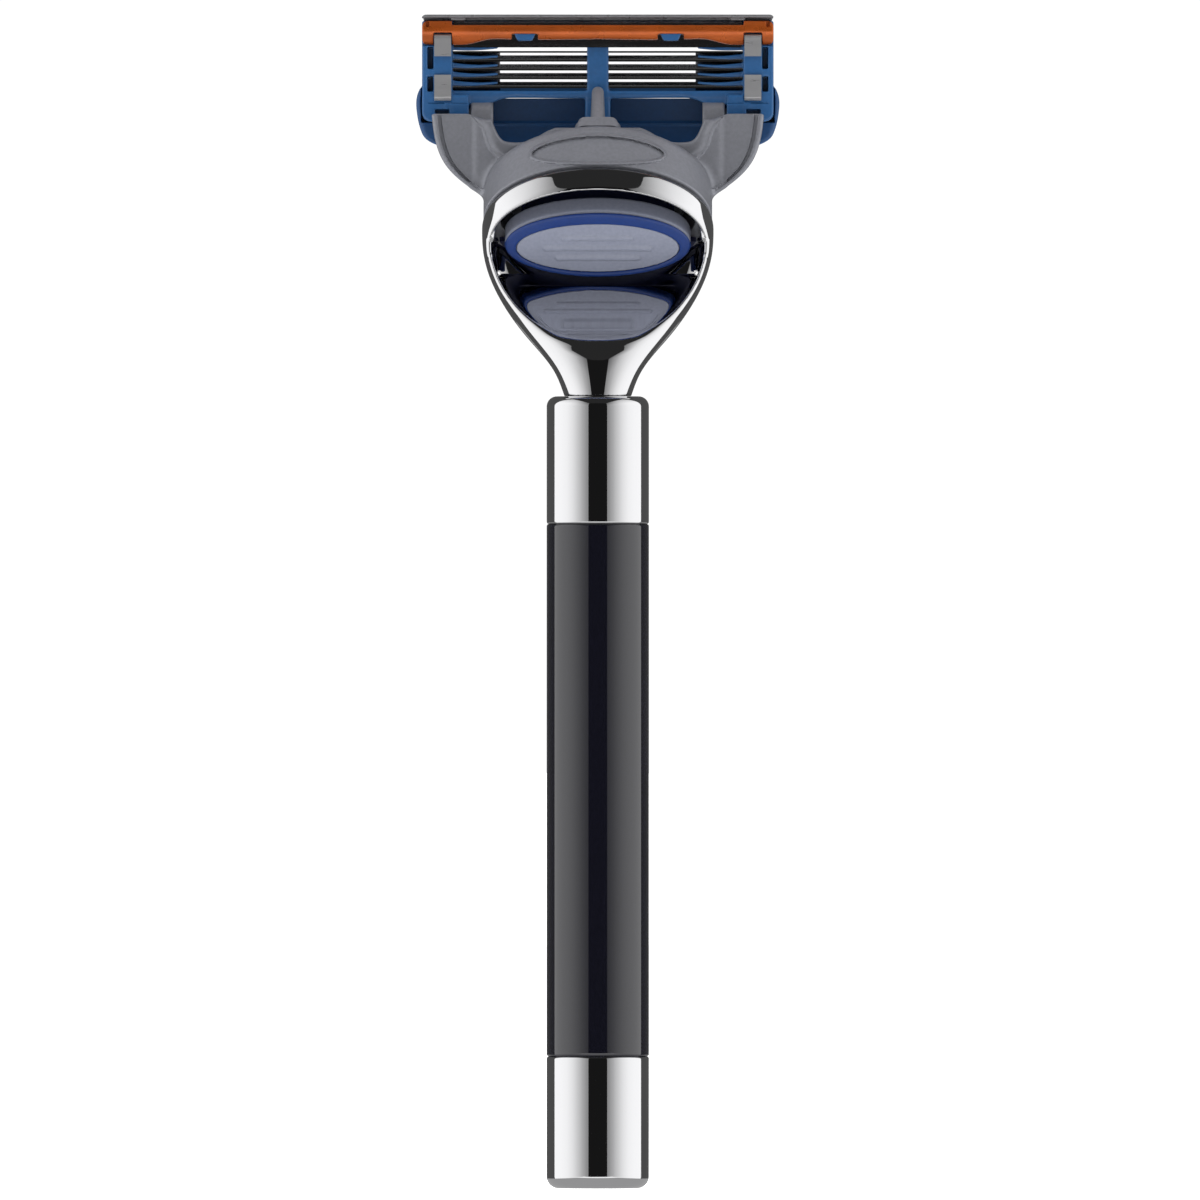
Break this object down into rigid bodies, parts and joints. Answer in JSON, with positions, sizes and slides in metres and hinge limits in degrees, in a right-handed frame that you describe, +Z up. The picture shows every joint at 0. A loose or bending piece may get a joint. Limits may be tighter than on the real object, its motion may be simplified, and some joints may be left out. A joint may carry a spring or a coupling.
{
  "type": "cartridge razor",
  "caption": "Shaving razor with a pivoting multi-blade cartridge on a push-button dock, a polished metal head and a round resin-sleeved handle.",
  "frame": {"origin": "centre of the end cap's flat bottom face", "axes": "+Z up the handle to the head, +X along the blades, +Y the way the blades face"},
  "size_m": [0.043, 0.0247, 0.1391],
  "materials": {
    "chrome": "mirror polished",
    "resin": "polished black resin",
    "steel": "bright drawn",
    "black_plastic": "satin moulded",
    "button_grey": "satin moulded",
    "button_blue": "matte",
    "connector_grey": "fine textured, slightly metallic",
    "frame_blue": "satin moulded",
    "guard_rubber": "soft matte",
    "clip_aluminium": "brushed",
    "holder_orange": "metallic orange",
    "blade_steel": "ground and polished",
    "support_steel": "rolled",
    "tray_grey": "metallic grey",
    "strip_white": "waxy"
  },
  "bodies": {
    "handle": {"end_cap": "chrome", "grip_sleeve": "resin", "core_rod": "steel", "neck_collar": "chrome", "head_casting": "chrome", "dock_base": "black_plastic", "ejector_spring": "steel"},
    "button": {"button_carriage": "button_grey", "button_ring": "button_blue", "button_pad": "button_grey"},
    "connector": {"connector_yoke": "connector_grey", "plunger_guide": "connector_grey", "plunger_spring": "steel"},
    "plunger": {"plunger": "connector_grey"},
    "cartridge": {"cartridge_frame": "frame_blue", "guard": "guard_rubber", "clip_left": "clip_aluminium", "clip_right": "clip_aluminium", "trimmer_holder": "holder_orange", "trimmer_blade": "blade_steel", "strip_tray": "tray_grey", "lubricating_strip": "strip_white"},
    "blade_unit_1": {"blade_support_1": "support_steel", "blade_1": "blade_steel"},
    "blade_unit_2": {"blade_support_2": "support_steel", "blade_2": "blade_steel"},
    "blade_unit_3": {"blade_support_3": "support_steel", "blade_3": "blade_steel"},
    "blade_unit_4": {"blade_support_4": "support_steel", "blade_4": "blade_steel"},
    "blade_unit_5": {"blade_support_5": "support_steel", "blade_5": "blade_steel"}
  },
  "joints": [
    {"name": "eject_button", "type": "slide", "parent": "handle", "child": "button", "axis": [0, 0.7193, 0.6947], "range_m": [0, 0.002], "stiffness_N_per_m": 500, "springref_m": -0.0006, "deforming": ["ejector_spring"]},
    {"name": "cartridge_release", "type": "slide", "parent": "handle", "child": "connector", "axis": [0, 0.7193, 0.6947], "range_m": [0, 0.014]},
    {"name": "plunger_slide", "type": "slide", "parent": "connector", "child": "plunger", "axis": [0, -0.7193, -0.6947], "range_m": [0, 0.0028], "deforming": ["plunger_spring"]},
    {"name": "cartridge_pivot", "type": "hinge", "parent": "connector", "child": "cartridge", "pos_m": [0, 0.0135, 0.127], "axis": [1, 0, 0], "range_deg": [0, 45], "stiffness_Nm_per_rad": 0.02, "springref_deg": -17.19},
    {"name": "blade_float_1", "type": "slide", "parent": "cartridge", "child": "blade_unit_1", "axis": [0, -1, 0], "range_m": [0, 0.0002], "stiffness_N_per_m": 500, "springref_m": -0.0001},
    {"name": "blade_float_2", "type": "slide", "parent": "cartridge", "child": "blade_unit_2", "axis": [0, -1, 0], "range_m": [0, 0.0002], "stiffness_N_per_m": 500, "springref_m": -0.0001},
    {"name": "blade_float_3", "type": "slide", "parent": "cartridge", "child": "blade_unit_3", "axis": [0, -1, 0], "range_m": [0, 0.0002], "stiffness_N_per_m": 500, "springref_m": -0.0001},
    {"name": "blade_float_4", "type": "slide", "parent": "cartridge", "child": "blade_unit_4", "axis": [0, -1, 0], "range_m": [0, 0.0002], "stiffness_N_per_m": 500, "springref_m": -0.0001},
    {"name": "blade_float_5", "type": "slide", "parent": "cartridge", "child": "blade_unit_5", "axis": [0, -1, 0], "range_m": [0, 0.0002], "stiffness_N_per_m": 500, "springref_m": -0.0001}
  ],
  "couplings": [
    {"joint": "plunger_slide", "follows": "cartridge_pivot", "m_per_rad": 0.003438}
  ]
}
